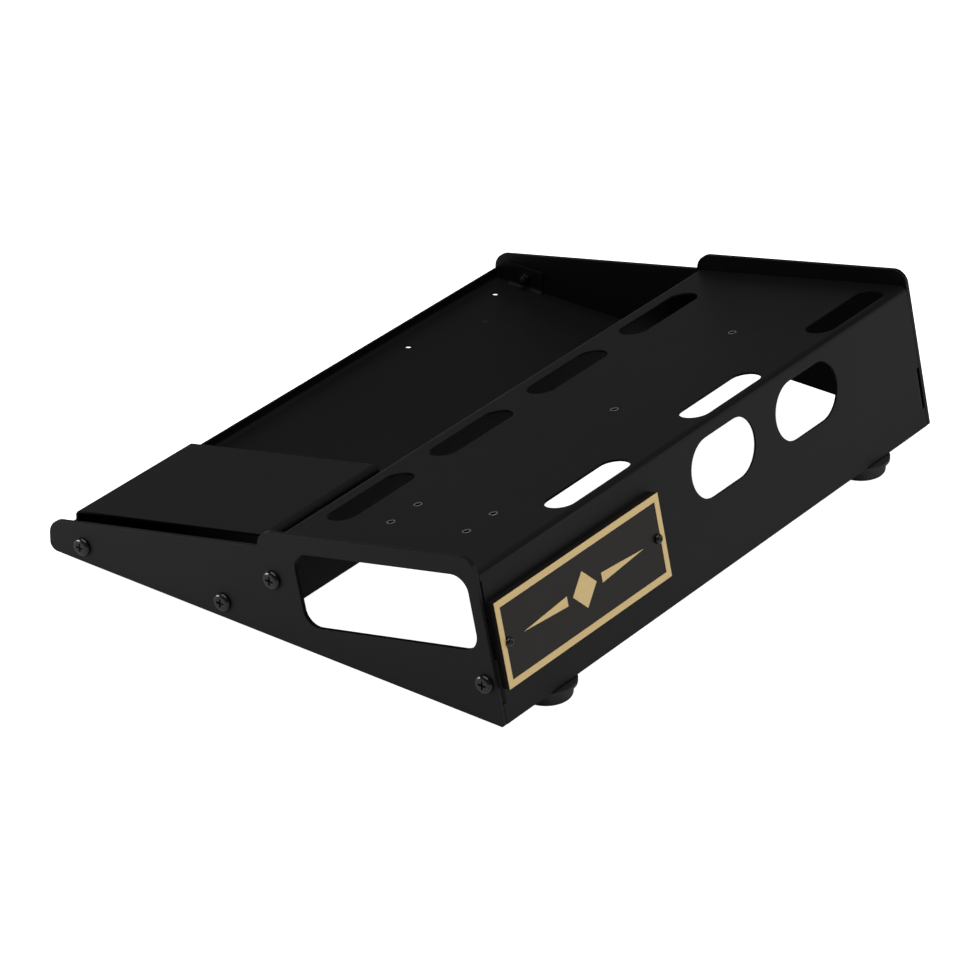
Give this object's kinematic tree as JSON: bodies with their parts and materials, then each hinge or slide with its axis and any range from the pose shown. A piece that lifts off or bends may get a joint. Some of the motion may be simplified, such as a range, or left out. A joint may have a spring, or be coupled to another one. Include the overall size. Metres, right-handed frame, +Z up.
{
  "type": "pedalboard",
  "caption": "Two-tier wedge pedalboard: low tray, sloping slotted deck, leaning rear panel with cable ports, and a loose riser.",
  "frame": {"origin": "middle of the footprint, rear feet included, on the floor", "axes": "+X along the board to the player's right, +Y from the player towards the high rear, +Z up"},
  "size_m": [0.5144, 0.3864, 0.1253],
  "materials": {
    "powder_coat": "fine satin texture",
    "gold_metal": "brushed",
    "dark_enamel": "satin",
    "rubber": "matte",
    "black_steel": "glossy",
    "zinc": "satin"
  },
  "bodies": {
    "frame": {"end_plate_right": "powder_coat", "end_plate_left": "powder_coat", "tray": "powder_coat", "deck_panel": "powder_coat", "nameplate": "dark_enamel", "nameplate_border": "gold_metal", "rear_foot_brackets": "powder_coat", "foot_front_right": "rubber", "foot_front_left": "rubber", "foot_rear_right": "rubber", "foot_rear_left": "rubber", "tray_screws": "black_steel", "tray_nuts": "black_steel", "wall_screws": "black_steel", "wall_nuts": "black_steel", "rear_screws": "black_steel", "rear_nuts": "black_steel", "nameplate_screws": "black_steel", "foot_screws": "black_steel", "foot_washers": "zinc"},
    "riser": {"riser": "powder_coat"}
  },
  "joints": [
    {"name": "riser_slide", "type": "slide", "parent": "frame", "child": "riser", "axis": [-1, 0, 0], "range_m": [-0.009, 0.363]}
  ]
}
